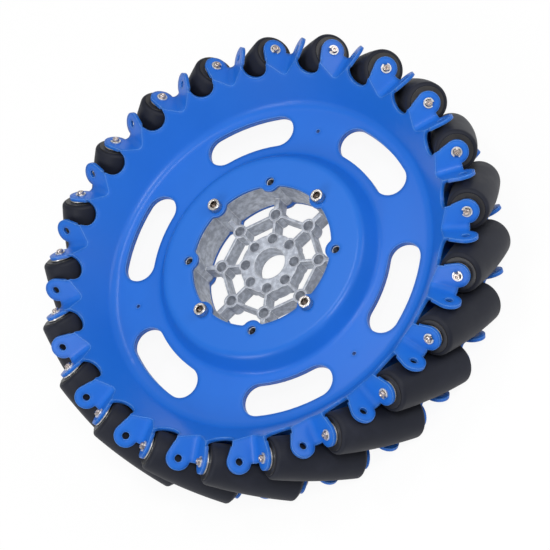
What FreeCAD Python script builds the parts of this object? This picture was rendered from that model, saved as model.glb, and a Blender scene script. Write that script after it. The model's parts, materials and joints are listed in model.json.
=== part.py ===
import FreeCAD
import Part
import Sketcher
import math
import os

from FreeCAD import Placement, Rotation, Vector

# Mecanum wheel with a ring of free rollers set at 45 degrees.
# Frame: +Z runs along the wheel's axis towards its front plate and the origin is the wheel's centre, so the
# plane z = 0 lies between the two plates. +X runs through the middle of a long slot and through a screw hole.

# Driving dimensions, millimetres and degrees
SIZES = (
    ("roller_count", "21"),
    ("roller_angle", "45"),
    ("sheet", "2.5"),
    ("ear_hole_radius", "165.6"),
    ("ear_hole_side", "9.3"),
    ("ear_hole_diameter", "5.5"),
    ("ear_round", "8.8"),
    ("ear_web_edge", "1.35"),
    ("ear_neck_side", "3.5"),
    ("ear_neck_depth", "14.6"),
    ("crease_radius", "4"),
    ("root_radius", "2.5"),
    ("notch_radius", "9.5"),
    ("notch_foot", "145.6"),
    ("notch_flare", "15"),
    ("rim_foot_radius", "130"),
    ("rim_slope", "55"),
    ("rim_bend", "8"),
    ("step_height", "13.87"),
    ("step_crest_radius", "79"),
    ("step_foot_radius", "88"),
    ("step_bend", "3.5"),
    ("opening_radius", "56.4"),
    ("lobe_radius", "7.9"),
    ("lobe_blend", "3"),
    ("slot_count", "6"),
    ("slot_radius", "109.4"),
    ("slot_width", "25"),
    ("slot_half_angle", "12.28"),
    ("tool_hole_count", "3"),
    ("tool_hole_diameter", "3"),
    ("bolt_count", "8"),
    ("plate_pitch_circle", "120"),
    ("plate_hole_diameter", "6.8"),
    ("tool_hole_turn", "30"),
    ("hub_front", "0.8"),
    ("hub_depth", "14"),
    ("drum_wall", "5"),
    ("drum_boss_radius", "7"),
    ("bore_diameter", "25"),
    ("hub_hole_diameter", "8"),
    ("inner_pitch_circle", "40"),
    ("outer_pitch_circle", "80"),
    ("hub_disc_radius", "23.5"),
    ("inner_boss_radius", "5.3"),
    ("outer_boss_radius", "5.6"),
    ("thin_rib", "1.9"),
    ("spoke_width", "3.6"),
    ("screw_diameter", "6"),
    ("screw_head_diameter", "10"),
    ("screw_head_height", "5.4"),
    ("screw_length", "16"),
    ("socket_width", "5"),
    ("socket_depth", "3"),
    ("pin_diameter", "5"),
    ("pin_end", "3"),
    ("clip_diameter", "8"),
    ("clip_thickness", "1"),
    ("washer_diameter", "17"),
    ("washer_bore", "5.2"),
    ("washer_thickness", "1"),
    ("core_diameter", "24.6"),
    ("core_bore", "5.1"),
    ("core_half_length", "35.4"),
    ("tread_half_length", "34.8"),
    ("tread_middle_radius", "17.05"),
    ("tread_end_radius", "15.4"),
    ("tread_edge", "4.2"),
)


class Size:
    """A length or angle that carries its number and the expression that binds it to the sheet."""

    def __init__(self, value, text):
        self.value = value
        self.text = text

    def _join(self, other, sign, value):
        return Size(value, f"({self.text} {sign} {text_of(other)})")

    def __add__(self, other):
        return self._join(other, "+", self.value + value_of(other))

    def __sub__(self, other):
        return self._join(other, "-", self.value - value_of(other))

    def __mul__(self, other):
        return self._join(other, "*", self.value * value_of(other))

    def __truediv__(self, other):
        return self._join(other, "/", self.value / value_of(other))

    def __neg__(self):
        return Size(-self.value, f"(0 - {self.text})")


def value_of(number):
    return number.value if isinstance(number, Size) else float(number)


def text_of(number):
    return number.text if isinstance(number, Size) else f"{float(number):g}"


def sin(angle):
    return Size(math.sin(math.radians(angle.value)), f"sin({angle.text})")


def cos(angle):
    return Size(math.cos(math.radians(angle.value)), f"cos({angle.text})")


def tan(angle):
    return Size(math.tan(math.radians(angle.value)), f"tan({angle.text})")


def make_sheet(doc):
    """Write the driving dimensions into the sheet and return each as a Size."""
    sheet = doc.addObject("Spreadsheet::Sheet", "sizes")
    for row, (name, number) in enumerate(SIZES, start=1):
        sheet.set(f"A{row}", name)
        sheet.set(f"B{row}", number)
        sheet.setAlias(f"B{row}", name)
    doc.recompute()
    return {name: Size(float(sheet.get(name)), f"sizes.{name}") for name, _ in SIZES}


def make_body(doc, name):
    body = doc.addObject("PartDesign::Body", name)
    body.Label = name
    body.AllowCompound = True
    return body


def origin_feature(body, role):
    return next(part for part in body.Origin.OriginFeatures if part.Role == role)


def make_sketch(body, name, role, placement=None):
    sketch = body.newObject("Sketcher::SketchObject", name)
    sketch.AttachmentSupport = [(origin_feature(body, role), "")]
    sketch.MapMode = "FlatFace"
    if placement is not None:
        sketch.AttachmentOffset = placement
    return sketch


def point(x, y):
    return Vector(value_of(x), value_of(y), 0)


def bind(sketch, kind, places, size):
    """Add one dimension to a sketch and bind it to the sheet."""
    index = sketch.addConstraint(Sketcher.Constraint(kind, *places, size.value))
    sketch.setExpression(f"Constraints[{index}]", size.text)


def fix_point(sketch, edge, end, x, y):
    for kind, size in (("DistanceX", x), ("DistanceY", y)):
        if isinstance(size, Size):
            bind(sketch, kind, (-1, 1, edge, end), size)
        else:
            sketch.addConstraint(Sketcher.Constraint(kind, -1, 1, edge, end, float(size)))


def outline(sketch, corners):
    """Closed outline of straight lines; each corner's x and y are dimensions bound to the sheet."""
    count = len(corners)
    for here in range(count):
        start = point(*corners[here])
        end = point(*corners[(here + 1) % count])
        sketch.addGeometry(Part.LineSegment(start, end), False)
    for here in range(count):
        sketch.addConstraint(Sketcher.Constraint("Coincident", here, 2, (here + 1) % count, 1))
    for here, (x, y) in enumerate(corners):
        fix_point(sketch, here, 1, x, y)


def circle(sketch, x, y, radius):
    index = sketch.addGeometry(Part.Circle(point(x, y), Vector(0, 0, 1), radius.value), False)
    fix_point(sketch, index, 3, x, y)
    bind(sketch, "Radius", (index,), radius)
    return index


def add_feature(body, kind, name, sketch, **settings):
    feature = body.newObject(f"PartDesign::{kind}", name)
    feature.Profile = sketch
    for key, value in settings.items():
        if isinstance(value, Size):
            setattr(feature, key, value.value)
            feature.setExpression(key, value.text)
        else:
            setattr(feature, key, value)
    sketch.Visibility = False
    body.Document.recompute()
    return feature


def turn_about_z(body, kind, name, sketch):
    """Revolution or Groove of a profile drawn in the XZ plane."""
    return add_feature(body, kind, name, sketch, ReferenceAxis=(sketch, ["V_Axis"]), Angle=360)


def repeat(body, name, originals, count):
    pattern = body.newObject("PartDesign::PolarPattern", name)
    pattern.Originals = originals
    pattern.Axis = (origin_feature(body, "Z_Axis"), [""])
    pattern.Angle = 360
    pattern.Occurrences = int(count.value)
    pattern.setExpression("Occurrences", count.text)
    body.Tip = pattern
    body.Document.recompute()
    return pattern


def edges_where(shape, test):
    return [f"Edge{index}" for index, edge in enumerate(shape.Edges, start=1) if test(edge)]


def round_edges(body, name, base, edges, radius):
    fillet = body.newObject("PartDesign::Fillet", name)
    fillet.Base = (base, edges)
    fillet.Radius = radius.value
    fillet.setExpression("Radius", radius.text)
    body.Document.recompute()
    return fillet


class EarFrame:
    """Where one pair of roller ears lies. The two ears meet in a valley whose line falls outwards."""

    def __init__(self, size):
        pitch = Size(360, "360") / size["roller_count"]
        self.half_pitch = pitch / 2
        lead = pitch * 0.75
        angle = size["roller_angle"]
        radius = size["ear_hole_radius"]
        side = size["ear_hole_side"]
        self.hole_height = (radius * sin(lead) - side * cos(lead)) / tan(angle)
        self.middle_radius = radius * cos(lead) + side * sin(lead)
        self.half_span = self.hole_height / cos(angle)
        self.valley_height = self.hole_height - side * cos(lead) * tan(angle)
        sine = math.sin(math.radians(angle.value))
        cosine = math.cos(math.radians(angle.value))
        lean = math.sin(math.radians(lead.value)) * sine
        self.fall = math.degrees(math.atan2(lean, cosine))
        self.normal = Vector(lean, -math.cos(math.radians(lead.value)) * sine, cosine)
        self.outward = Vector(math.cos(math.radians(self.fall)), 0, -math.sin(math.radians(self.fall)))
        self.away = self.normal.cross(self.outward)
        self.rise = math.degrees(math.atan2(-self.normal.y, math.hypot(self.normal.x, self.normal.z)))
        self.reach = side.value / self.away.y
        self.hole = Vector(radius.value, side.value, self.hole_height.value)
        self.valley = Vector(radius.value, 0, self.valley_height.value)
        self.turn = Rotation(Vector(0, 0, 1), self.half_pitch.value)
        self.strip_half_width = 0.98 * 145 * math.sin(math.radians(self.half_pitch.value))
        self.valley_place = self.place(self.valley, Vector(0, 1, 0), self.outward.cross(Vector(0, 1, 0)))

    def place(self, base, x_axis, y_axis):
        """Sketch frame with these axes at the first pair of ears, whose middle is half a pitch round."""
        rotation = Rotation(x_axis, y_axis, x_axis.cross(y_axis), "XYZ")
        return Placement(self.turn.multVec(base), self.turn.multiply(rotation))


def slope_height(size, radius, drop=0):
    """Height of the rim slope's front face at a radius, or of its rear face, which lies one sheet lower."""
    return size["sheet"] + (radius - size["rim_foot_radius"]) * tan(size["rim_slope"]) - drop


def sheet_section(size):
    """Section of the pressed sheet from the opening over the step and the flat ring to the rim slope."""
    sheet = size["sheet"]
    foot = size["rim_foot_radius"]
    end = foot + 40
    rise = size["step_height"]
    step = Size(math.atan2(rise.value, size["step_foot_radius"].value - size["step_crest_radius"].value), "0")
    inset = sheet * math.tan(step.value / 2)
    flare = sheet * (Size(1, "1") - cos(size["rim_slope"])) / sin(size["rim_slope"])
    top = (
        (size["opening_radius"], rise + sheet),
        (size["step_crest_radius"] + inset, rise + sheet),
        (size["step_foot_radius"] + inset, sheet),
        (foot, sheet),
        (end, slope_height(size, end)),
    )
    lean = sheet / cos(size["rim_slope"])
    bottom = (
        (end, slope_height(size, end, lean)),
        (foot + flare, 0),
        (size["step_foot_radius"], 0),
        (size["step_crest_radius"], rise),
        (size["opening_radius"], rise),
    )
    return top + bottom


def rounded_valley(ears, half_width, lift, radius):
    """Two slopes joined by an arc at the bottom, drawn from left to right."""
    rise = math.radians(ears.rise)
    touch = radius * math.sin(rise)
    centre = lift + radius / math.cos(rise)
    low = centre - radius * math.cos(rise)
    high = lift + half_width * math.tan(rise)
    return [
        Part.LineSegment(Vector(-half_width, high, 0), Vector(-touch, low, 0)),
        Part.Arc(Vector(-touch, low, 0), Vector(0, centre - radius, 0), Vector(touch, low, 0)),
        Part.LineSegment(Vector(touch, low, 0), Vector(half_width, high, 0)),
    ]


def lines_through(points):
    return [Part.LineSegment(start, end) for start, end in zip(points, points[1:])]


def add_edges(sketch, edges, radii=()):
    """Add loose edges to a sketch and bind the radius of each arc that is named."""
    for edge in edges:
        sketch.addGeometry(edge, False)
    for index, radius in radii:
        bind(sketch, "Radius", (index,), radius)


def add_valley_trim(body, size, ears):
    """Everything in front of the two ears' faces is cut from the slope."""
    sketch = make_sketch(body, "valley_trim_section", "XY_Plane", ears.valley_place)
    width = ears.strip_half_width + 5
    valley = rounded_valley(ears, width, 0, size["crease_radius"].value)
    left = valley[0].StartPoint
    right = valley[2].EndPoint
    above = Vector(0, ears.strip_half_width, 0)
    add_edges(
        sketch,
        valley + lines_through([right, right + above, left + above, left]),
        [(1, size["crease_radius"])],
    )
    return add_feature(body, "Pocket", "valley_trim", sketch, Length=60, SideType="Symmetric")


def add_ear_strip(body, size, ears):
    """The bent strip that both ears of a pair are cut from."""
    sketch = make_sketch(body, "ear_strip_section", "XY_Plane", ears.valley_place)
    inner = size["crease_radius"]
    outer = inner + size["sheet"]
    lift = -size["sheet"].value / math.cos(math.radians(ears.rise))
    front = rounded_valley(ears, ears.strip_half_width, 0, inner.value)
    rear = rounded_valley(ears, ears.strip_half_width, lift, outer.value)
    sides = [
        Part.LineSegment(front[2].EndPoint, rear[2].EndPoint),
        Part.LineSegment(rear[0].StartPoint, front[0].StartPoint),
    ]
    add_edges(sketch, front + rear + sides, [(1, inner), (4, outer)])
    beyond = size["ear_round"] + 0.8
    return add_feature(
        body, "Pad", "ear_strip", sketch, SideType="Two sides", Length=beyond, Length2=27
    )


def add_slope_front(body, size):
    """Strip ends that stand in front of the rim slope are cut back to its front face."""
    sketch = make_sketch(body, "slope_front_section", "XZ_Plane")
    start = size["rim_foot_radius"] + 6
    end = size["rim_foot_radius"] + 75
    high = slope_height(size, end)
    outline(sketch, ((start, slope_height(size, start)), (end, high), (start, high)))
    return turn_about_z(body, "Groove", "slope_front", sketch)


def add_notch(body, size):
    """Round-bottomed notch between two pairs of ears, cut square to the rim slope."""
    radius = size["notch_radius"].value
    flare = math.radians(size["notch_flare"].value)
    slope = math.radians(size["rim_slope"].value)
    up_slope = Vector(math.cos(slope), 0, math.sin(slope))
    foot = size["notch_foot"]
    centre = Vector(foot.value, 0, slope_height(size, foot).value) + up_slope * radius
    sideways = Vector(0, 1, 0)
    place = Placement(centre, Rotation(sideways, up_slope, sideways.cross(up_slope), "XYZ"))
    sketch = make_sketch(body, "notch_outline", "XY_Plane", place)
    touch = Vector(radius * math.cos(flare), -radius * math.sin(flare), 0)
    high = 2.2 * radius
    top = Vector(touch.x + (high - touch.y) * math.tan(flare), high, 0)
    mirror = Vector(-1, 1, 1)
    left_touch = Vector(-touch.x, touch.y, 0)
    left_top = Vector(-top.x, top.y, 0)
    edges = [Part.Arc(left_touch, Vector(0, -radius, 0), touch)]
    edges += lines_through([touch, top, left_top, left_touch])
    add_edges(sketch, edges, [(0, size["notch_radius"])])
    depth = size["sheet"] + 1.2
    return add_feature(
        body, "Pocket", "notch", sketch, SideType="Two sides", Length=3, Length2=depth
    )


def add_ear_outline(body, size, ears, side):
    """Waste around one ear, with its pin hole, cut square to the ear. Side is 1 or -1."""
    name = "left" if side > 0 else "right"
    flip = Vector(ears.away.x, side * ears.away.y, ears.away.z)
    base = Vector(ears.hole.x, side * ears.hole.y, ears.hole.z)
    sketch = make_sketch(body, f"{name}_ear_outline", "XY_Plane", ears.place(base, flip, ears.outward))
    radius = size["ear_round"].value
    edge = size["ear_web_edge"].value
    neck = Vector(size["ear_neck_side"].value, -size["ear_neck_depth"].value, 0)
    start_angle = math.atan2(neck.y, neck.x) + math.acos(radius / neck.Length)
    end_angle = math.pi - math.asin(edge / radius)
    round_end = Part.ArcOfCircle(Part.Circle(Vector(), Vector(0, 0, 1), radius), start_angle, end_angle)
    inside = -ears.reach - 2
    outside = (ears.strip_half_width - size["ear_hole_side"].value) / ears.away.y + 2
    low = neck.y - 7
    high = radius + 4
    path = [
        round_end.StartPoint,
        neck,
        Vector(neck.x, low, 0),
        Vector(outside, low, 0),
        Vector(outside, high, 0),
        Vector(inside, high, 0),
        Vector(inside, edge, 0),
        round_end.EndPoint,
    ]
    add_edges(sketch, [round_end] + lines_through(path), [(0, size["ear_round"])])
    circle(sketch, 0, 0, size["ear_hole_diameter"] / 2)
    front = 1.6
    rear = size["sheet"] + 1.6
    depths = {"Length": front, "Length2": rear} if side > 0 else {"Length": rear, "Length2": front}
    return add_feature(body, "Pocket", f"{name}_ear", sketch, SideType="Two sides", **depths)


def circle_edges(shape, radius, height):
    """Names of the whole circles about the wheel's axis with this radius and height."""
    return edges_where(
        shape,
        lambda edge: edge.Curve.TypeId == "Part::GeomCircle"
        and abs(edge.Curve.Radius - value_of(radius)) < 0.01
        and abs(edge.Curve.Center.z - value_of(height)) < 0.01,
    )


def add_bends(body, size, base, section):
    """Round both sides of the three bends in the sheet."""
    bends = (
        ("step_crest_outside", section[1], size["step_bend"] + size["sheet"]),
        ("step_crest_inside", section[8], size["step_bend"]),
        ("step_foot_inside", section[2], size["step_bend"]),
        ("step_foot_outside", section[7], size["step_bend"] + size["sheet"]),
        ("rim_inside", section[3], size["rim_bend"]),
        ("rim_outside", section[6], size["rim_bend"] + size["sheet"]),
    )
    for name, (radius, height), bend in bends:
        base = round_edges(body, name, base, circle_edges(base.Shape, radius, height), bend)
    return base


def add_opening_lobes(body, size):
    """Eight lobes reach into the opening, one round each screw hole."""
    raised = Placement(Vector(0, 0, size["step_height"].value), Rotation())
    sketch = make_sketch(body, "lobe_outline", "XY_Plane", raised)
    sketch.setExpression(".AttachmentOffset.Base.z", size["step_height"].text)
    circle(sketch, size["plate_pitch_circle"] / 2, 0, size["lobe_radius"])
    lobe = add_feature(body, "Pad", "lobe", sketch, Length=size["sheet"])
    lobes = repeat(body, "lobes", [lobe], size["bolt_count"])
    upright = edges_where(
        lobes.Shape,
        lambda edge: edge.Curve.TypeId == "Part::GeomLine"
        and abs(edge.Curve.Direction.z) > 0.99
        and abs(edge.firstVertex().Point.z) > 1
        and abs(math.hypot(edge.firstVertex().X, edge.firstVertex().Y) - size["opening_radius"].value) < 0.01
        and len(edge.Vertexes) == 2,
    )
    return lobes, upright


def add_through_cut(body, name, sketch, count):
    cut = add_feature(body, "Pocket", name, sketch, Type="ThroughAll", Midplane=True)
    return repeat(body, f"{name}s", [cut], count)


def add_slots(body, size):
    """Six long slots that follow the ring and have round ends."""
    sketch = make_sketch(body, "slot_outline", "XY_Plane")
    middle = size["slot_radius"].value
    half = size["slot_width"].value / 2
    turn = math.radians(size["slot_half_angle"].value)
    centre = Vector()
    axis = Vector(0, 0, 1)
    end = Vector(middle * math.cos(turn), middle * math.sin(turn), 0)
    start = Vector(end.x, -end.y, 0)
    edges = [
        Part.ArcOfCircle(Part.Circle(centre, axis, middle + half), -turn, turn),
        Part.ArcOfCircle(Part.Circle(centre, axis, middle - half), -turn, turn),
        Part.ArcOfCircle(Part.Circle(end, axis, half), turn, turn + math.pi),
        Part.ArcOfCircle(Part.Circle(start, axis, half), -turn - math.pi, -turn),
    ]
    bound = [
        (0, size["slot_radius"] + size["slot_width"] / 2),
        (1, size["slot_radius"] - size["slot_width"] / 2),
        (2, size["slot_width"] / 2),
        (3, size["slot_width"] / 2),
    ]
    add_edges(sketch, edges, bound)
    return add_through_cut(body, "slot", sketch, size["slot_count"])


def make_plate(doc, size, ears):
    """One pressed plate, as it stands at the front of the wheel."""
    body = make_body(doc, "front_plate")
    section = sheet_section(size)
    sketch = make_sketch(body, "plate_section", "XZ_Plane")
    outline(sketch, section)
    sheet = turn_about_z(body, "Revolution", "plate_sheet", sketch)
    add_bends(body, size, sheet, section)
    trim = add_valley_trim(body, size, ears)
    strip = add_ear_strip(body, size, ears)
    repeat(body, "ear_strips", [trim, strip], size["roller_count"])
    add_slope_front(body, size)
    cuts = [add_notch(body, size)]
    cuts += [add_ear_outline(body, size, ears, side) for side in (1, -1)]
    repeat(body, "ears", cuts, size["roller_count"])
    lobes, upright = add_opening_lobes(body, size)
    round_edges(body, "lobe_blends", lobes, upright, size["lobe_blend"])
    holes = make_sketch(body, "plate_hole_outline", "XY_Plane")
    circle(holes, size["plate_pitch_circle"] / 2, 0, size["plate_hole_diameter"] / 2)
    add_through_cut(body, "plate_hole", holes, size["bolt_count"])
    add_slots(body, size)
    tool = make_sketch(body, "tool_hole_outline", "XY_Plane")
    turn = size["tool_hole_turn"]
    circle(tool, size["slot_radius"] * cos(turn), size["slot_radius"] * sin(turn), size["tool_hole_diameter"] / 2)
    add_through_cut(body, "tool_hole", tool, size["tool_hole_count"])
    return body


def turn_over(doc, plate):
    """The rear plate is the same pressing turned over about the X axis of the first slot."""
    rear = doc.addObject("Part::Compound", "rear_plate")
    rear.Label = "rear_plate"
    rear.Links = [plate]
    rear.Placement = Placement(Vector(), Rotation(Vector(0, 1, 0), 180))
    doc.recompute()
    return rear


def raised_sketch(body, name, height):
    """Sketch across the axis at a height that is bound to the sheet."""
    sketch = make_sketch(body, name, "XY_Plane", Placement(Vector(0, 0, height.value), Rotation()))
    sketch.setExpression(".AttachmentOffset.Base.z", height.text)
    return sketch


def pad_circle(body, name, plane_height, x, radius, length, **settings):
    sketch = raised_sketch(body, f"{name}_outline", plane_height)
    circle(sketch, x, 0, radius)
    return add_feature(body, "Pad", name, sketch, Length=length, **settings)


def add_hub_disc(body, size):
    """Disc round the bore, with the circle of small bosses that hold the inner holes."""
    rear = size["hub_front"] - size["hub_depth"]
    disc = pad_circle(body, "hub_disc", rear, 0, size["hub_disc_radius"], size["hub_depth"])
    for name, pitch, radius in (
        ("inner_boss", size["inner_pitch_circle"], size["inner_boss_radius"]),
        ("outer_boss", size["outer_pitch_circle"], size["outer_boss_radius"]),
    ):
        boss = pad_circle(body, name, rear, pitch / 2, radius, size["hub_depth"])
        repeat(body, f"{name}es", [boss], size["bolt_count"])
    return disc


def add_drum(body, size):
    """Round wall that keeps the two stepped centres apart, with a boss for each screw."""
    sketch = make_sketch(body, "drum_outline", "XY_Plane")
    circle(sketch, 0, 0, size["opening_radius"])
    circle(sketch, 0, 0, size["opening_radius"] + size["drum_wall"])
    height = size["step_height"] * 2
    add_feature(body, "Pad", "drum", sketch, Length=height, SideType="Symmetric")
    boss_sketch = make_sketch(body, "drum_boss_outline", "XY_Plane")
    circle(boss_sketch, size["plate_pitch_circle"] / 2, 0, size["drum_boss_radius"])
    boss = add_feature(body, "Pad", "drum_boss", boss_sketch, Length=height, SideType="Symmetric")
    repeat(body, "drum_bosses", [boss], size["bolt_count"])


def add_ribs(body, size):
    """Thin radial ribs, the octagon between the outer bosses, and the eight spokes."""
    rear = size["hub_front"] - size["hub_depth"]
    turn = Size(180, "180") / size["bolt_count"]
    outer = size["outer_pitch_circle"] / 2
    thin = size["thin_rib"] / 2
    spoke = size["spoke_width"] / 2
    flat = outer * cos(turn)
    reach = outer * sin(turn)
    rib = raised_sketch(body, "radial_rib_outline", rear)
    inner_end = size["hub_disc_radius"] - 1
    outline(rib, ((inner_end, -thin), (outer, -thin), (outer, thin), (inner_end, thin)))
    arm = raised_sketch(body, "spoke_outline", rear)
    arm_end = size["opening_radius"] + 1
    outline(arm, ((outer, -spoke), (arm_end, -spoke), (arm_end, spoke), (outer, spoke)))
    side = raised_sketch(body, "octagon_rib_outline", rear)
    side.AttachmentOffset = Placement(
        Vector(0, 0, rear.value), Rotation(Vector(0, 0, 1), turn.value)
    )
    outline(side, ((flat - thin, -reach), (flat + thin, -reach), (flat + thin, reach), (flat - thin, reach)))
    pads = [
        add_feature(body, "Pad", name, sketch, Length=size["hub_depth"])
        for name, sketch in (("radial_rib", rib), ("spoke", arm), ("octagon_rib", side))
    ]
    repeat(body, "ribs", pads, size["bolt_count"])


def add_hub_holes(body, size):
    bore = make_sketch(body, "bore_outline", "XY_Plane")
    circle(bore, 0, 0, size["bore_diameter"] / 2)
    add_feature(body, "Pocket", "bore", bore, Type="ThroughAll", Midplane=True)
    for name, pitch, diameter in (
        ("inner_hole", size["inner_pitch_circle"], size["hub_hole_diameter"]),
        ("outer_hole", size["outer_pitch_circle"], size["hub_hole_diameter"]),
        ("screw_hole", size["plate_pitch_circle"], size["screw_diameter"] + 0.1),
    ):
        sketch = make_sketch(body, f"{name}_outline", "XY_Plane")
        circle(sketch, pitch / 2, 0, diameter / 2)
        add_through_cut(body, name, sketch, size["bolt_count"])


def make_hub(doc, size):
    """Cast spider between the two plates."""
    body = make_body(doc, "spider_hub")
    add_hub_disc(body, size)
    add_ribs(body, size)
    add_drum(body, size)
    add_hub_holes(body, size)
    return body


def make_screws(doc, size, name, side):
    """Socket-head screws in every other hole of one plate. Side is 1 at the front and -1 at the rear."""
    body = make_body(doc, name)
    seat = size["step_height"] + size["sheet"]
    reach = size["plate_pitch_circle"] / 2
    head = size["screw_head_diameter"] / 2
    shank = size["screw_diameter"] / 2
    top = seat + size["screw_head_height"]
    section = make_sketch(body, "screw_section", "XZ_Plane")
    tip = seat - size["screw_length"]
    outline(
        section,
        (
            (reach, tip),
            (reach + shank, tip),
            (reach + shank, seat),
            (reach + head, seat),
            (reach + head, top),
            (reach, top),
        ),
    )
    screw = body.newObject("PartDesign::Revolution", "screw")
    screw.Profile = section
    screw.ReferenceAxis = (section, ["Edge6"])
    screw.Angle = 360
    section.Visibility = False
    doc.recompute()
    socket = raised_sketch(body, "socket_outline", top)
    width = size["socket_width"] / 2
    corner = width / cos(Size(30, "30"))
    outline(
        socket,
        (
            (reach + corner, 0),
            (reach + corner / 2, width),
            (reach - corner / 2, width),
            (reach - corner, 0),
            (reach - corner / 2, -width),
            (reach + corner / 2, -width),
        ),
    )
    hexagon = add_feature(body, "Pocket", "socket", socket, Length=size["socket_depth"])
    repeat(body, "screws", [screw, hexagon], size["bolt_count"] / 2)
    if side < 0:
        over = Rotation(Vector(1, 0, 0), 180)
        body.Placement = Placement(Vector(), Rotation(Vector(0, 0, 1), 180 / size["bolt_count"].value * 2).multiply(over))
    return body


def roller_place(size, ears, index=0):
    """Frame at the middle of a roller, with Z along its pin towards the front ear."""
    pitch = 2 * ears.half_pitch.value
    turn = Rotation(Vector(0, 0, 1), pitch * (index + 0.5) + 1.5 * ears.half_pitch.value)
    lean = Rotation(Vector(1, 0, 0), size["roller_angle"].value)
    return Placement(turn.multVec(Vector(ears.middle_radius.value, 0, 0)), turn.multiply(lean))


def make_pins(doc, size, ears):
    body = make_body(doc, "axle_pins")
    sketch = make_sketch(body, "pin_outline", "XY_Plane", roller_place(size, ears))
    circle(sketch, 0, 0, size["pin_diameter"] / 2)
    length = (ears.half_span + size["pin_end"]) * 2
    pin = add_feature(body, "Pad", "pin", sketch, Length=length, SideType="Symmetric")
    repeat(body, "pins", [pin], size["roller_count"])
    return body


def make_rings(doc, size, ears, name, start, thickness, diameter, bore, side):
    """Flat rings on the pins, one per roller, from a place along the pin outwards."""
    body = make_body(doc, name)
    middle = roller_place(size, ears)
    low = start if side > 0 else -(start + thickness)
    place = Placement(middle.multVec(Vector(0, 0, low.value)), middle.Rotation)
    sketch = make_sketch(body, "ring_outline", "XY_Plane", place)
    circle(sketch, 0, 0, diameter / 2)
    circle(sketch, 0, 0, bore / 2)
    ring = add_feature(body, "Pad", "ring", sketch, Length=thickness)
    repeat(body, "rings", [ring], size["roller_count"])
    return body


def make_core(doc, size, ears, index):
    """Hard core of one roller, which runs on its pin."""
    body = make_body(doc, f"roller_core_{index + 1:02d}")
    sketch = make_sketch(body, "core_outline", "XY_Plane")
    circle(sketch, 0, 0, size["core_diameter"] / 2)
    circle(sketch, 0, 0, size["core_bore"] / 2)
    add_feature(body, "Pad", "core", sketch, Length=size["core_half_length"] * 2, SideType="Symmetric")
    body.Placement = roller_place(size, ears, index)
    return body


def make_tread(doc, size, ears, index):
    """Rubber tread of one roller, thickest in the middle and rounded at its ends."""
    body = make_body(doc, f"roller_tread_{index + 1:02d}")
    sketch = make_sketch(body, "tread_section", "XZ_Plane")
    half = size["tread_half_length"].value
    inner = size["core_diameter"].value / 2
    end = size["tread_end_radius"].value
    middle = size["tread_middle_radius"].value
    edge = min(size["tread_edge"].value, end - inner - 0.2)
    lean = edge * 0.7071
    crest = Part.Arc(
        Vector(end, edge - half, 0), Vector(middle, 0, 0), Vector(end, half - edge, 0)
    )
    top = Part.Arc(
        Vector(end, half - edge, 0),
        Vector(end - edge + lean, half - edge + lean, 0),
        Vector(end - edge, half, 0),
    )
    bottom = Part.Arc(
        Vector(end - edge, -half, 0),
        Vector(end - edge + lean, edge - half - lean, 0),
        Vector(end, edge - half, 0),
    )
    sides = lines_through([Vector(end - edge, half, 0), Vector(inner, half, 0), Vector(inner, -half, 0), Vector(end - edge, -half, 0)])
    add_edges(sketch, [crest, top, bottom] + sides)
    turn_about_z(body, "Revolution", "tread", sketch)
    body.Placement = roller_place(size, ears, index)
    return body


def make_small_rings(doc, size, ears):
    """Clips outside the ears and washers between the ears and the rollers, at both ends of every pin."""
    clip = (ears.half_span, size["clip_thickness"], size["clip_diameter"], size["pin_diameter"])
    inside = ears.half_span - size["sheet"] - size["washer_thickness"]
    washer = (inside, size["washer_thickness"], size["washer_diameter"], size["washer_bore"])
    return [
        make_rings(doc, size, ears, "retaining_clips_front", *clip, 1),
        make_rings(doc, size, ears, "retaining_clips_rear", *clip, -1),
        make_rings(doc, size, ears, "thrust_washers_front", *washer, 1),
        make_rings(doc, size, ears, "thrust_washers_rear", *washer, -1),
    ]


def check(doc, pieces):
    """Stop before anything is written if a feature failed or a piece has no sound solid."""
    for item in doc.Objects:
        if "Invalid" in item.State or "Error" in item.State:
            raise RuntimeError(f"{item.Name} failed: {item.State}")
    for piece in pieces:
        if piece.Shape.isNull() or not piece.Shape.isValid() or not piece.Shape.Solids:
            raise RuntimeError(f"{piece.Label} has no valid solid")


def main():
    doc = FreeCAD.newDocument("mecanum_wheel")
    size = make_sheet(doc)
    ears = EarFrame(size)
    plate = make_plate(doc, size, ears)
    pieces = [plate, turn_over(doc, plate), make_hub(doc, size)]
    pieces.append(make_screws(doc, size, "front_hub_screws", 1))
    pieces.append(make_screws(doc, size, "rear_hub_screws", -1))
    pieces.append(make_pins(doc, size, ears))
    pieces += make_small_rings(doc, size, ears)
    for index in range(int(size["roller_count"].value)):
        pieces.append(make_core(doc, size, ears, index))
        pieces.append(make_tread(doc, size, ears, index))
    doc.recompute()
    check(doc, pieces)
    os.makedirs("parts", exist_ok=True)
    for piece in pieces:
        piece.Shape.exportStep(f"parts/{piece.Label}.step")
        print(piece.Label, len(piece.Shape.Solids), round(piece.Shape.Volume))


main()
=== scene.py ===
import json
import math

import bmesh
import bpy
from mathutils import Matrix, Vector


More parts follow.
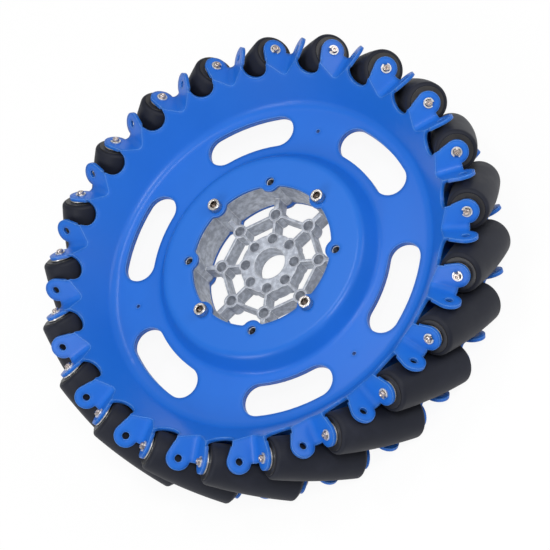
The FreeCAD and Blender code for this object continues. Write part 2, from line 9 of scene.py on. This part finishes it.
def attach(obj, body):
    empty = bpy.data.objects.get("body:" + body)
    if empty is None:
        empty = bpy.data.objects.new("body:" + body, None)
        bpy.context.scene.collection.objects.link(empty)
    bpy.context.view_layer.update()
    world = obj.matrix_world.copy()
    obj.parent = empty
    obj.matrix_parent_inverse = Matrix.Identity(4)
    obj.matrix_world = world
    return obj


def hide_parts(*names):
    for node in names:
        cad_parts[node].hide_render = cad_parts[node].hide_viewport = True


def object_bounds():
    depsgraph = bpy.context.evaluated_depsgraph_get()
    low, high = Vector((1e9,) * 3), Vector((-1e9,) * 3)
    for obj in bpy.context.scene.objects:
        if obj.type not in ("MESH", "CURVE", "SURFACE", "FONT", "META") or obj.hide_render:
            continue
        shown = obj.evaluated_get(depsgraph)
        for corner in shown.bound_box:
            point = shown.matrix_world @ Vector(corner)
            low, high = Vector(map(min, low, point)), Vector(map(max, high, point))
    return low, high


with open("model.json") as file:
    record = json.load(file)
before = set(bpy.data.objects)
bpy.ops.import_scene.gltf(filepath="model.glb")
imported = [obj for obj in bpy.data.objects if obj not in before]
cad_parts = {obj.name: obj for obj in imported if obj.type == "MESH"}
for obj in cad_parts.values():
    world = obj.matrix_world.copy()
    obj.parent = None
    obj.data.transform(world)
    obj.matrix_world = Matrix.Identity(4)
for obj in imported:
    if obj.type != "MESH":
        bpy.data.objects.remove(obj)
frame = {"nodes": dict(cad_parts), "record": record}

# Mecanum wheel lying on its rear ears, with its axis upright. Every length is in metres.
MM = 0.001

# Colours
WHITE = (1.0, 1.0, 1.0, 1.0)
FLOOR_GREY = (0.86, 0.86, 0.86, 1.0)
BLUE = (0.012, 0.138, 0.580, 1.0)
BLUE_DEEP = (BLUE[0] * 0.92, BLUE[1] * 0.95, BLUE[2] * 0.97, 1.0)
# Paler blue painted along the coat's sharp edges as a highlight
BLUE_EDGE_HIGHLIGHT = (0.20, 0.44, 0.92, 1.0)
RUBBER = (0.0068, 0.0086, 0.0172, 1.0)
RUBBER_DUSTY = (0.021, 0.0235, 0.038, 1.0)
CORE_BLACK = (0.010, 0.0097, 0.0105, 1.0)
CORE_BROWN = (0.020, 0.0188, 0.019, 1.0)
# Paler grey painted along the core's edges as a highlight
CORE_EDGE_HIGHLIGHT = (0.055, 0.053, 0.055, 1.0)
CAST_GREY = (0.53, 0.565, 0.635, 1.0)
CAST_DARK = (0.32, 0.345, 0.40, 1.0)
CAST_BRIGHT = (0.93, 0.95, 0.98, 1.0)
SCREW_STEEL = (0.70, 0.665, 0.64, 1.0)
PIN_STEEL = (0.60, 0.52, 0.48, 1.0)
CLIP_STEEL = (0.82, 0.81, 0.79, 1.0)
# Dark brown painted inside the screw sockets as shade
SOCKET_SHADE = (0.17, 0.135, 0.115, 1.0)
# Near black painted on the empty holes' threads as shade
THREAD_SHADE = (0.10, 0.10, 0.115, 1.0)
WASHER_STEEL = (0.86, 0.86, 0.85, 1.0)
STEEL_PALE_EDGE = (0.86, 0.85, 0.83, 1.0)

# How wide the paler edges (a painted highlight on the coat and the core) and the rounded folds of
# the finishes are
COAT_EDGE = 1.3 * MM
COAT_FOLD = 5 * MM
CAST_EDGE = 1 * MM
CAST_CORNER = 2 * MM
STEEL_EDGE = 0.2 * MM
RUBBER_EDGE = 0.8 * MM
CORE_EDGE = 0.5 * MM
BEVEL_SAMPLES = 6

cad_low, cad_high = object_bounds()


# Shader nodes

def add_node(tree, kind, inputs=None, **settings):
    """Add a node, set its properties, and set or link its inputs."""
    made = tree.nodes.new(kind)
    for name, value in settings.items():
        setattr(made, name, value)
    for name, value in (inputs or {}).items():
        if isinstance(value, bpy.types.NodeSocket):
            tree.links.new(value, made.inputs[name])
        else:
            made.inputs[name].default_value = value
    return made


def new_group(name, inputs, outputs):
    """Start a shader node group with named inputs and outputs."""
    tree = bpy.data.node_groups.new(name, "ShaderNodeTree")
    for label, kind, value in inputs:
        socket = tree.interface.new_socket(name=label, in_out="INPUT", socket_type=kind)
        socket.default_value = value
    for label, kind in outputs:
        tree.interface.new_socket(name=label, in_out="OUTPUT", socket_type=kind)
    entry = tree.nodes.new("NodeGroupInput")
    leave = tree.nodes.new("NodeGroupOutput")
    return tree, entry.outputs, leave.inputs


def maths(tree, operation, first, second=0.0, clamp=False):
    inputs = {0: first, 1: second}
    made = add_node(tree, "ShaderNodeMath", inputs, operation=operation, use_clamp=clamp)
    return made.outputs[0]


def blend_colours(tree, factor, first, second):
    made = add_node(tree, "ShaderNodeMix", data_type="RGBA")
    for index, value in ((0, factor), (6, first), (7, second)):
        if isinstance(value, bpy.types.NodeSocket):
            tree.links.new(value, made.inputs[index])
        else:
            made.inputs[index].default_value = value
    return made.outputs[2]


def stretch(tree, value, low, high, out_low=0.0, out_high=1.0):
    """Spread the values between low and high softly over another range."""
    made = add_node(
        tree,
        "ShaderNodeMapRange",
        {"Value": value, "From Min": low, "From Max": high, "To Min": out_low, "To Max": out_high},
        interpolation_type="SMOOTHSTEP",
    )
    return made.outputs["Result"]


def make_edge_finder():
    """Finds edges within a radius: gives a mask that is 1 on them and a normal that rounds them.

    Start leaves out blunt edges, such as the folds of a sheet.
    """
    tree, entry, leave = new_group(
        "edge_finder",
        [
            ("Radius", "NodeSocketFloat", 0.0004),
            ("Start", "NodeSocketFloat", 0.0),
            ("Spread", "NodeSocketFloat", 0.3),
        ],
        [("Mask", "NodeSocketFloat"), ("Normal", "NodeSocketVector")],
    )
    rounded = add_node(tree, "ShaderNodeBevel", {"Radius": entry["Radius"]}, samples=BEVEL_SAMPLES)
    flat = add_node(tree, "ShaderNodeNewGeometry")
    lined_up = add_node(
        tree,
        "ShaderNodeVectorMath",
        {0: rounded.outputs["Normal"], 1: flat.outputs["Normal"]},
        operation="DOT_PRODUCT",
    )
    turned = maths(tree, "SUBTRACT", 1.0, lined_up.outputs["Value"])
    turned = maths(tree, "SUBTRACT", turned, entry["Start"], clamp=True)
    tree.links.new(maths(tree, "DIVIDE", turned, entry["Spread"], clamp=True), leave["Mask"])
    tree.links.new(rounded.outputs["Normal"], leave["Normal"])
    return tree


def make_fine_grain():
    """Fine bumps and broad patches. Sizes are in metres."""
    tree, entry, leave = new_group(
        "fine_grain",
        [
            ("Grain Size", "NodeSocketFloat", 0.0008),
            ("Patch Size", "NodeSocketFloat", 0.03),
            ("Stretch", "NodeSocketVector", (1.0, 1.0, 1.0)),
        ],
        [
            ("Height", "NodeSocketFloat"),
            ("Patches", "NodeSocketFloat"),
            ("Specks", "NodeSocketFloat"),
        ],
    )
    place = add_node(tree, "ShaderNodeTexCoord")
    drawn = add_node(
        tree,
        "ShaderNodeVectorMath",
        {0: place.outputs["Object"], 1: entry["Stretch"]},
        operation="MULTIPLY",
    )
    fine = maths(tree, "DIVIDE", 1.0, entry["Grain Size"])
    broad = maths(tree, "DIVIDE", 1.0, entry["Patch Size"])
    grain = add_node(
        tree,
        "ShaderNodeTexNoise",
        {"Vector": drawn.outputs[0], "Scale": fine, "Detail": 3.0, "Roughness": 0.55},
    )
    patches = add_node(
        tree,
        "ShaderNodeTexNoise",
        {"Vector": place.outputs["Object"], "Scale": broad, "Detail": 4.0, "Roughness": 0.6},
    )
    specks = add_node(
        tree, "ShaderNodeTexVoronoi", {"Vector": place.outputs["Object"], "Scale": fine}
    )
    tree.links.new(grain.outputs["Fac"], leave["Height"])
    tree.links.new(patches.outputs["Fac"], leave["Patches"])
    tree.links.new(specks.outputs["Distance"], leave["Specks"])
    return tree


EDGE_FINDER = make_edge_finder()
FINE_GRAIN = make_fine_grain()


def new_material(name, **sockets):
    """Start a material and set its shader's own sockets."""
    material = bpy.data.materials.new(name)
    material.use_nodes = True
    tree = material.node_tree
    shader = tree.nodes["Principled BSDF"]
    for label, value in sockets.items():
        shader.inputs[label.replace("_", " ")].default_value = value
    return material, tree, shader


def use_group(tree, group, inputs):
    made = tree.nodes.new("ShaderNodeGroup")
    made.node_tree = group
    for name, value in inputs.items():
        made.inputs[name].default_value = value
    return made.outputs


def bump(tree, height, normal, strength, distance):
    made = add_node(
        tree,
        "ShaderNodeBump",
        {"Height": height, "Normal": normal, "Strength": strength, "Distance": distance},
    )
    return made.outputs["Normal"]


def link_finish(tree, shader, colour, rough, normal):
    tree.links.new(colour, shader.inputs["Base Color"])
    tree.links.new(rough, shader.inputs["Roughness"])
    tree.links.new(normal, shader.inputs["Normal"])


def lighten_edges(tree, mask, share, colour, edge_tone):
    """Show a share of a paler edge colour where the mask finds an edge. On the powder coat and the
    core this paler edge is a painted highlight.
    """
    return blend_colours(tree, maths(tree, "MULTIPLY", mask, share), colour, edge_tone)


def powder_coat():
    """Satin blue powder coat with a fine orange peel and a painted highlight in paler blue along
    its sharp edges.
    """
    material, tree, shader = new_material(
        "blue_powder_coat", Coat_Weight=0.16, Coat_Roughness=0.2, Specular_IOR_Level=0.2
    )
    edge = use_group(tree, EDGE_FINDER, {"Radius": COAT_EDGE, "Start": 0.1, "Spread": 0.12})
    fold = use_group(tree, EDGE_FINDER, {"Radius": COAT_FOLD})
    grain = use_group(tree, FINE_GRAIN, {"Grain Size": 0.7 * MM, "Patch Size": 50 * MM})
    even = blend_colours(tree, stretch(tree, grain["Patches"], 0.3, 0.7), BLUE_DEEP, BLUE)
    # Painted highlight: paler blue along the sharp sheet edges
    colour = lighten_edges(tree, edge["Mask"], 0.85, even, BLUE_EDGE_HIGHLIGHT)
    rough = stretch(tree, grain["Patches"], 0.3, 0.7, out_low=0.36, out_high=0.44)
    peel = bump(tree, grain["Height"], fold["Normal"], strength=0.12, distance=0.12 * MM)
    link_finish(tree, shader, colour, rough, peel)
    return material


def cast_aluminium():
    """Cast aluminium: mottled and faintly pitted, with brighter edges."""
    material, tree, shader = new_material("cast_aluminium", Metallic=0.45)
    edge = use_group(tree, EDGE_FINDER, {"Radius": CAST_EDGE, "Spread": 0.25})
    corner = use_group(tree, EDGE_FINDER, {"Radius": CAST_CORNER})
    grain = use_group(tree, FINE_GRAIN, {"Grain Size": 1.1 * MM, "Patch Size": 4 * MM})
    mottled = blend_colours(tree, stretch(tree, grain["Patches"], 0.35, 0.68), CAST_DARK, CAST_GREY)
    pits = stretch(tree, grain["Specks"], 0.0, 0.25, out_low=0.85)
    pitted = blend_colours(tree, pits, CAST_DARK, mottled)
    colour = lighten_edges(tree, edge["Mask"], 0.95, pitted, CAST_BRIGHT)
    rough = stretch(tree, grain["Height"], 0.3, 0.7, out_low=0.42, out_high=0.6)
    skin = bump(tree, grain["Height"], corner["Normal"], strength=0.6, distance=0.3 * MM)
    link_finish(tree, shader, colour, rough, skin)
    return material


def steel(name, colour, roughness, grain_size, drawn=(1.0, 1.0, 1.0), bare=1.0):
    """Plated or ground steel with fine marks left by the tool.

    Drawn draws the marks out along an axis, and a bare value under 1 stands for matt plating.
    """
    material, tree, shader = new_material(name, Metallic=bare)
    edge = use_group(tree, EDGE_FINDER, {"Radius": STEEL_EDGE, "Spread": 0.4})
    grain = use_group(
        tree, FINE_GRAIN, {"Grain Size": grain_size, "Patch Size": 4 * MM, "Stretch": drawn}
    )
    dark = tuple(part * 0.72 for part in colour[:3]) + (1.0,)
    toned = blend_colours(tree, stretch(tree, grain["Patches"], 0.35, 0.65), dark, colour)
    colour = blend_colours(tree, edge["Mask"], toned, STEEL_PALE_EDGE)
    rough = stretch(tree, grain["Height"], 0.3, 0.7, roughness * 0.8, roughness * 1.25)
    marks = bump(tree, grain["Height"], edge["Normal"], strength=0.2, distance=0.04 * MM)
    link_finish(tree, shader, colour, rough, marks)
    return material


def tread_rubber():
    """Smooth matt black rubber with a little pale dust in broad patches."""
    material, tree, shader = new_material(
        "tread_rubber", Specular_IOR_Level=0.26, Sheen_Weight=0.02, Sheen_Roughness=0.5
    )
    edge = use_group(tree, EDGE_FINDER, {"Radius": RUBBER_EDGE, "Spread": 0.5})
    grain = use_group(tree, FINE_GRAIN, {"Grain Size": 0.9 * MM, "Patch Size": 20 * MM})
    dust = maths(tree, "MULTIPLY", stretch(tree, grain["Patches"], 0.45, 0.8), 0.45)
    dusted = blend_colours(tree, dust, RUBBER, RUBBER_DUSTY)
    colour = lighten_edges(tree, edge["Mask"], 0.5, dusted, RUBBER_DUSTY)
    rough = stretch(tree, grain["Patches"], 0.3, 0.7, out_low=0.55, out_high=0.66)
    skin = bump(tree, grain["Height"], edge["Normal"], strength=0.25, distance=0.08 * MM)
    link_finish(tree, shader, colour, rough, skin)
    return material


def core_plastic():
    """Hard moulded core, a shade warmer and glossier than the rubber round it."""
    material, tree, shader = new_material("moulded_core")
    edge = use_group(tree, EDGE_FINDER, {"Radius": CORE_EDGE, "Spread": 0.5})
    grain = use_group(tree, FINE_GRAIN, {"Grain Size": 0.6 * MM, "Patch Size": 8 * MM})
    warm = blend_colours(tree, stretch(tree, grain["Patches"], 0.35, 0.65), CORE_BLACK, CORE_BROWN)
    # Painted highlight: paler grey along the core's edges
    colour = lighten_edges(tree, edge["Mask"], 0.5, warm, CORE_EDGE_HIGHLIGHT)
    rough = stretch(tree, grain["Height"], 0.3, 0.7, out_low=0.38, out_high=0.5)
    skin = bump(tree, grain["Height"], edge["Normal"], strength=0.2, distance=0.06 * MM)
    link_finish(tree, shader, colour, rough, skin)
    return material


FINISHES = {
    "plate_paint": powder_coat(),
    "cast_hub": cast_aluminium(),
    "screw_steel": steel("plated_screw_steel", SCREW_STEEL, 0.27, 0.6 * MM),
    "pin_steel": steel("ground_pin_steel", PIN_STEEL, 0.32, 0.4 * MM, drawn=(1.0, 1.0, 6.0)),
    "clip_steel": steel("spring_clip_steel", CLIP_STEEL, 0.4, 0.5 * MM, bare=0.75),
    # Dark steel for the inside of the sockets, painted shade in the recess
    "socket_shade": steel("socket_painted_shade", SOCKET_SHADE, 0.3, 0.6 * MM),
    # Near-black thread, painted shade inside the empty holes
    "thread_shade": steel("thread_painted_shade", THREAD_SHADE, 0.45, 0.5 * MM),
    "washer_steel": steel("bright_washer_steel", WASHER_STEEL, 0.3, 0.5 * MM, bare=0.6),
    "roller_core": core_plastic(),
    "roller_tread": tread_rubber(),
}


# Meshes

SHARP_ANGLE = math.radians(32)


def finish_mesh(name, mesh, body, slot, replaced=(), finishes=()):
    """Make a piece from a mesh, with its finishes, on the body that it belongs to."""
    for face in mesh.polygons:
        face.use_smooth = True
    mesh.set_sharp_from_angle(angle=SHARP_ANGLE)
    piece = bpy.data.objects.new(name, mesh)
    bpy.context.scene.collection.objects.link(piece)
    for finish in finishes or (slot,):
        piece.data.materials.append(FINISHES[finish])
    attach(piece, body)
    if replaced:
        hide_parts(*replaced)


def around(place, reach, angle, height):
    """Point at a reach and an angle round the Z axis of a frame."""
    return place @ Vector((reach * math.cos(angle), reach * math.sin(angle), height))


def join_rings(shape, first, second, finish=0):
    """Join two rings of points with a band of faces."""
    count = len(first)
    for here in range(count):
        after = (here + 1) % count
        face = shape.faces.new((first[here], first[after], second[after], second[here]))
        face.material_index = finish


def turned_shape(shape, place, rings, steps, closed=False, recess=()):
    """Skin rings of points, each a height and a radius, or a height and a radius for each angle.

    A closed shape joins its last ring to its first, and any other gets two end caps. The bands
    numbered in recess, and an end cap beside one, take the second finish.
    """
    made = []
    for height, radius in rings:
        ring = []
        for step in range(steps):
            angle = 2 * math.pi * step / steps
            reach = radius(angle) if callable(radius) else radius
            ring.append(shape.verts.new(around(place, reach, angle, height)))
        made.append(ring)
    for number, (first, second) in enumerate(zip(made, made[1:])):
        join_rings(shape, first, second, int(number in recess))
    if closed:
        join_rings(shape, made[-1], made[0])
    else:
        shape.faces.new(list(reversed(made[0]))).material_index = int(0 in recess)
        shape.faces.new(made[-1]).material_index = int(len(made) - 2 in recess)


def to_mesh(name, shape):
    bmesh.ops.recalc_face_normals(shape, faces=shape.faces)
    mesh = bpy.data.meshes.new(name)
    shape.to_mesh(mesh)
    shape.free()
    return mesh


# Rollers and their pins

ROLLER_COUNT = 21
ROLLER_LEAN = math.radians(45)
ROLLER_RADIUS = 163.5175 * MM
# Part of a pitch that the pairs of ears are turned by, from the first slot's axis
ROLLER_START = 0.75
EAR_FACE = 39.2906 * MM
PIN_RADIUS = 2.5 * MM
PIN_END = 3 * MM
PIN_CHAMFER = 0.4 * MM
PIN_STEPS = 32
GROOVE_RADIUS = 2.05 * MM
GROOVE_START = EAR_FACE + 0.02 * MM
GROOVE_END = EAR_FACE + 1.05 * MM
TREAD_HALF = 34.8 * MM
TREAD_MIDDLE = 16.78 * MM
TREAD_SHOULDER = 15.13 * MM
TREAD_CORNER = 3 * MM
TREAD_BORE = 12.28 * MM
TREAD_BANDS = 8
TREAD_STEPS = 72
CLIP_GRIP = 2.08 * MM
CLIP_INSIDE = 2.75 * MM
CLIP_OUTSIDE = 3.98 * MM
CLIP_THICK = 1.0 * MM
CLIP_SOFT = 0.16 * MM
CLIP_LUGS = (0.9, math.pi, -0.9)
CLIP_LUG_HALF = 0.30
CLIP_OPENING = math.radians(26)
CLIP_STEPS = 56


def roller_frame(index, end=1):
    """Frame at a roller's middle, Z along its pin to the front ear for 1 or the rear ear for -1."""
    pitch = 2 * math.pi / ROLLER_COUNT
    turn = Matrix.Rotation(pitch * (index + 0.5) + ROLLER_START * pitch, 4, "Z")
    lean = Matrix.Rotation(ROLLER_LEAN, 4, "X")
    middle = turn @ Matrix.Translation((ROLLER_RADIUS, 0, 0)) @ lean
    return middle if end > 0 else middle @ Matrix.Rotation(math.pi, 4, "X")


def tread_rings():
    """Barrel profile of a tread: one long arc, a small corner at each end and the bore."""
    drop = TREAD_MIDDLE - TREAD_SHOULDER
    barrel = (TREAD_HALF**2 + drop**2) / (2 * drop)
    axis = TREAD_MIDDLE - barrel
    corner_height = TREAD_HALF - TREAD_CORNER
    corner_radius = axis + math.sqrt((barrel - TREAD_CORNER) ** 2 - corner_height**2)
    lean = math.asin(corner_height / (barrel - TREAD_CORNER))
    side = []
    for step in range(TREAD_BANDS):
        angle = lean * step / TREAD_BANDS
        side.append((barrel * math.sin(angle), axis + barrel * math.cos(angle)))
    for step in range(TREAD_BANDS + 1):
        angle = lean + (math.pi / 2 - lean) * step / TREAD_BANDS
        height = corner_height + TREAD_CORNER * math.sin(angle)
        side.append((height, corner_radius + TREAD_CORNER * math.cos(angle)))
    side.append((TREAD_HALF, TREAD_BORE))
    return [(-height, radius) for height, radius in reversed(side[1:])] + side


def make_treads():
    """One rubber tread for each roller, turning with it."""
    rings = tread_rings()
    for index in range(ROLLER_COUNT):
        shape = bmesh.new()
        turned_shape(shape, roller_frame(index), rings, TREAD_STEPS, closed=True)
        number = f"{index + 1:02d}"
        mesh = to_mesh(f"rubber_tread_{number}", shape)
        finish_mesh(mesh.name, mesh, f"roller_{number}", "roller_tread", [f"roller_tread_{number}"])


def make_pins():
    """Pins with a chamfer, a groove for each clip and a drilled centre in each end."""
    shape = bmesh.new()
    half = EAR_FACE + PIN_END
    end_rings = [
        (half - 0.9 * MM, 0.35 * MM),
        (half - 0.45 * MM, 0.8 * MM),
        (half, 1.15 * MM),
        (half, 2.1 * MM),
        (half - PIN_CHAMFER, PIN_RADIUS),
        (GROOVE_END, PIN_RADIUS),
        (GROOVE_END, GROOVE_RADIUS),
        (GROOVE_START, GROOVE_RADIUS),
        (GROOVE_START, PIN_RADIUS),
    ]
    low_rings = [(-height, radius) for height, radius in reversed(end_rings)]
    for index in range(ROLLER_COUNT):
        turned_shape(shape, roller_frame(index), end_rings + low_rings, PIN_STEPS)
    mesh = to_mesh("grooved_pins", shape)
    finish_mesh("grooved_pins", mesh, "wheel_frame", "pin_steel", ["axle_pins"])


def clip_edge(angle):
    """Inside radius of a clip: three lugs reach into the pin's groove and the rest stands off."""
    gap = min(abs((angle - lug + math.pi) % (2 * math.pi) - math.pi) for lug in CLIP_LUGS)
    return CLIP_GRIP if gap < CLIP_LUG_HALF else CLIP_INSIDE


def add_clip(shape, place):
    """One open clip, pushed on from the side, with softened outer edges."""
    sections = []
    for step in range(CLIP_STEPS + 1):
        angle = CLIP_OPENING + (2 * math.pi - 2 * CLIP_OPENING) * step / CLIP_STEPS
        inside = clip_edge(angle)
        corners = (
            (inside, 0.0),
            (CLIP_OUTSIDE, 0.0),
            (CLIP_OUTSIDE, CLIP_THICK - CLIP_SOFT),
            (CLIP_OUTSIDE - CLIP_SOFT, CLIP_THICK),
            (inside + CLIP_SOFT, CLIP_THICK),
            (inside, CLIP_THICK - CLIP_SOFT),
        )
        spots = [around(place, reach, angle, EAR_FACE + height) for reach, height in corners]
        sections.append([shape.verts.new(spot) for spot in spots])
    for first, second in zip(sections, sections[1:]):
        join_rings(shape, first, second)
    shape.faces.new(list(reversed(sections[0])))
    shape.faces.new(sections[-1])


def make_clips(name, end, replaced):
    """A clip on every pin at one end, each one pushed on from another side."""
    shape = bmesh.new()
    for index in range(ROLLER_COUNT):
        turn = Matrix.Rotation(math.radians(40 + 67 * index), 4, "Z")
        add_clip(shape, roller_frame(index, end) @ turn)
    finish_mesh(name, to_mesh(name, shape), "wheel_frame", "clip_steel", [replaced])


# Hub screws

PLATE_FACE = 16.37 * MM
SCREW_CIRCLE = 60 * MM
SCREW_PITCH = 90
SCREW_OFFSET = 45
SCREW_STEPS = 72
SHANK_LENGTH = 15.4 * MM
SHANK_RADIUS = 3.0 * MM
HEAD_RADIUS = 5 * MM
HEAD_HEIGHT = 5.4 * MM
KNURL_STEP = math.radians(5)
KNURL_DEPTH = 0.16 * MM
SOCKET_FLAT = 2.5 * MM
SOCKET_DEPTH = 3 * MM
THREAD_TOP = 13.7 * MM
THREAD_BACK = 3.04 * MM
THREAD_VALLEY = 3 * MM
THREAD_CREST = 2.6 * MM
THREAD_PITCH = 1 * MM
THREAD_TURNS = 12
THREAD_STEPS = 32


def hexagon(angle):
    """Radius of the six-sided socket at an angle."""
    side = math.radians(60)
    return SOCKET_FLAT / math.cos((angle + side / 2) % side - side / 2)


def knurl(angle):
    """Radius of the head's fine vertical grooves."""
    return HEAD_RADIUS - (KNURL_DEPTH if int(round(angle / KNURL_STEP)) % 2 else 0.0)


def add_screw(shape, place):
    """Screw with a chamfered shank, a knurled head and a six-sided socket."""
    top = PLATE_FACE + HEAD_HEIGHT
    floor = top - SOCKET_DEPTH
    outside = [
        (PLATE_FACE - SHANK_LENGTH, SHANK_RADIUS - 0.6 * MM),
        (PLATE_FACE - SHANK_LENGTH + 0.6 * MM, SHANK_RADIUS),
        (PLATE_FACE, SHANK_RADIUS),
        (PLATE_FACE, 4.7 * MM),
        (PLATE_FACE + 0.3 * MM, knurl),
        (top - 0.9 * MM, knurl),
        (top - 0.75 * MM, 4.82 * MM),
        (top - 0.2 * MM, 4.72 * MM),
        (top, 4.4 * MM),
        (top, 3.15 * MM),
    ]
    socket = [
        (top - 0.25 * MM, 2.92 * MM),
        (top - 0.28 * MM, hexagon),
        (floor, hexagon),
        (floor - 0.05 * MM, 2.35 * MM),
        (floor - 0.9 * MM, 0.3 * MM),
    ]
    rings = outside + socket
    # The socket's faces take the dark painted shade
    turned_shape(shape, place, rings, SCREW_STEPS, recess=range(len(outside), len(rings)))


def screw_place(quarter, end, offset):
    """Frame on a screw hole's axis, with Z towards the front for 1 and the rear for -1."""
    place = Matrix.Rotation(math.radians(SCREW_PITCH * quarter + offset), 4, "Z")
    if end < 0:
        place = place @ Matrix.Rotation(math.pi, 4, "X")
    return place @ Matrix.Translation((SCREW_CIRCLE, 0, 0))


def make_hub_screws(name, end, replaced):
    """Four socket-head screws in every other hole of one plate."""
    shape = bmesh.new()
    for quarter in range(4):
        place = screw_place(quarter, end, 0 if end > 0 else SCREW_OFFSET)
        twist = Matrix.Rotation(math.radians(17 + 41 * quarter), 4, "Z")
        add_screw(shape, place @ twist)
    finishes = ("screw_steel", "socket_shade")
    finish_mesh(name, to_mesh(name, shape), "wheel_frame", "screw_steel", [replaced], finishes)


def make_threads(name, end):
    """Thread in the screw holes that stay empty on one side of the hub, coloured dark as painted
    shade inside the holes.
    """
    shape = bmesh.new()
    rings = [(THREAD_TOP, THREAD_BACK)]
    for turn in range(THREAD_TURNS):
        low = THREAD_TOP - THREAD_PITCH * (turn + 1)
        rings += [
            (low + 0.9 * THREAD_PITCH, THREAD_VALLEY),
            (low + 0.5 * THREAD_PITCH, THREAD_CREST),
            (low + 0.1 * THREAD_PITCH, THREAD_VALLEY),
        ]
    rings.append((THREAD_TOP - THREAD_PITCH * THREAD_TURNS, THREAD_BACK))
    for quarter in range(4):
        place = screw_place(quarter, end, SCREW_OFFSET if end > 0 else 0)
        turned_shape(shape, place, rings, THREAD_STEPS, closed=True)
    mesh = to_mesh(name, shape)
    # The thread takes the dark painted shade
    finish_mesh(name, mesh, "wheel_frame", "cast_hub", finishes=("thread_shade",))


# Scene

FLOOR_RADIUS = 6.0
FLOOR_GAP = 0.2 * MM
FLOOR_WHITE = 0.93
SKY_STRENGTH = 0.42
CAMERA_LENS = 155.8
CAMERA_PLACE = Vector((46.85, -1015.18, 1447.40)) * MM
VIEW_RIGHT = Vector((0.71671, -0.56109, -0.41413))
VIEW_UP = Vector((0.69680, 0.60029, 0.39258))
VIEW_BACK = Vector((0.02833, -0.56993, 0.82120))
# Name of each lamp, its place to the right, up and back along the camera's directions, its side
# and its power in watts
SOFTBOXES = (
    ("front_softbox", (0.0, 0.5, 2.04), 0.6, 18.0),
    ("right_softbox", (1.15, 1.15, 1.3), 0.8, 8.0),
    ("left_softbox", (-1.1, 1.3, 1.2), 0.5, 9.0),
    ("low_softbox", (-1.35, -1.0, 1.2), 0.8, 14.0),
)


def dress_cad_nodes():
    """Give every carried-over solid the finish of its slot."""
    slots = {row["node"]: row["material_slot"] for row in frame["record"]["subparts"]}
    for name, solid in frame["nodes"].items():
        if not solid.material_slots:
            solid.data.materials.append(FINISHES[slots[name]])
        for socket in solid.material_slots:
            socket.link = "OBJECT"
            socket.material = FINISHES[slots[name]]


def pale_floor():
    """Floor that shows white to the camera and keeps a faint shadow."""
    material = bpy.data.materials.new("pale_floor")
    material.use_nodes = True
    tree = material.node_tree
    tree.nodes.clear()
    matt = add_node(tree, "ShaderNodeBsdfDiffuse", {"Color": FLOOR_GREY})
    shine = add_node(tree, "ShaderNodeEmission", {"Color": WHITE, "Strength": 1.0})
    path = add_node(tree, "ShaderNodeLightPath")
    seen = maths(tree, "MAXIMUM", path.outputs["Is Camera Ray"], path.outputs["Is Glossy Ray"])
    seen = maths(tree, "MAXIMUM", seen, path.outputs["Is Transmission Ray"])
    share = maths(tree, "MULTIPLY", seen, FLOOR_WHITE)
    halves = {0: share, 1: matt.outputs[0], 2: shine.outputs[0]}
    mixed = add_node(tree, "ShaderNodeMixShader", halves)
    add_node(tree, "ShaderNodeOutputMaterial", {"Surface": mixed.outputs[0]})
    return material


def make_floor():
    shape = bmesh.new()
    bmesh.ops.create_circle(shape, cap_ends=True, segments=96, radius=FLOOR_RADIUS)
    mesh = bpy.data.meshes.new("floor")
    shape.to_mesh(mesh)
    shape.free()
    mesh.materials.append(pale_floor())
    floor = bpy.data.objects.new("floor", mesh)
    floor.location.z = cad_low.z - FLOOR_GAP
    bpy.context.scene.collection.objects.link(floor)


def light_world():
    """Even sky that shows white to the camera and lights the wheel more dimly."""
    world = bpy.data.worlds.new("studio_sky")
    bpy.context.scene.world = world
    world.use_nodes = True
    tree = world.node_tree
    tree.nodes.clear()
    path = add_node(tree, "ShaderNodeLightPath")
    camera, through = path.outputs["Is Camera Ray"], path.outputs["Is Transmission Ray"]
    seen = maths(tree, "MAXIMUM", camera, through)
    soft = add_node(tree, "ShaderNodeBackground", {"Color": WHITE, "Strength": SKY_STRENGTH})
    white = add_node(tree, "ShaderNodeBackground", {"Color": WHITE, "Strength": 1.0})
    halves = {0: seen, 1: soft.outputs[0], 2: white.outputs[0]}
    mixed = add_node(tree, "ShaderNodeMixShader", halves)
    add_node(tree, "ShaderNodeOutputWorld", {"Surface": mixed.outputs[0]})


def add_softbox(name, place, size, power):
    """Square lamp that faces the wheel, placed by the camera's own directions."""
    right, up, back = place
    lamp = bpy.data.lights.new(name, "AREA")
    lamp.shape = "SQUARE"
    lamp.size = size
    lamp.energy = power
    item = bpy.data.objects.new(name, lamp)
    item.location = VIEW_RIGHT * right + VIEW_UP * up + VIEW_BACK * back
    item.rotation_mode = "QUATERNION"
    item.rotation_quaternion = (-item.location).to_track_quat("-Z", "Y")
    bpy.context.scene.collection.objects.link(item)


def make_camera():
    """Long lens above the wheel's front, at the place that was fitted to the photograph."""
    camera = bpy.data.cameras.new("view_camera")
    camera.lens = CAMERA_LENS
    camera.sensor_width = 36.0
    camera.clip_start = 0.05
    camera.clip_end = 50.0
    item = bpy.data.objects.new("view_camera", camera)
    turn = Matrix((VIEW_RIGHT, VIEW_UP, VIEW_BACK)).transposed().to_4x4()
    item.matrix_world = Matrix.Translation(CAMERA_PLACE) @ turn
    bpy.context.scene.collection.objects.link(item)
    bpy.context.scene.camera = item


bpy.context.scene.view_settings.view_transform = "Standard"
make_camera()
light_world()
make_floor()
for name, place, size, power in SOFTBOXES:
    add_softbox(name, place, size, power)

dress_cad_nodes()
make_treads()
make_pins()
make_clips("spring_clips_front", 1, "retaining_clips_front")
make_clips("spring_clips_rear", -1, "retaining_clips_rear")
make_hub_screws("socket_screws_front", 1, "front_hub_screws")
make_hub_screws("socket_screws_rear", -1, "rear_hub_screws")
make_threads("tapped_threads_front", 1)
make_threads("tapped_threads_rear", -1)
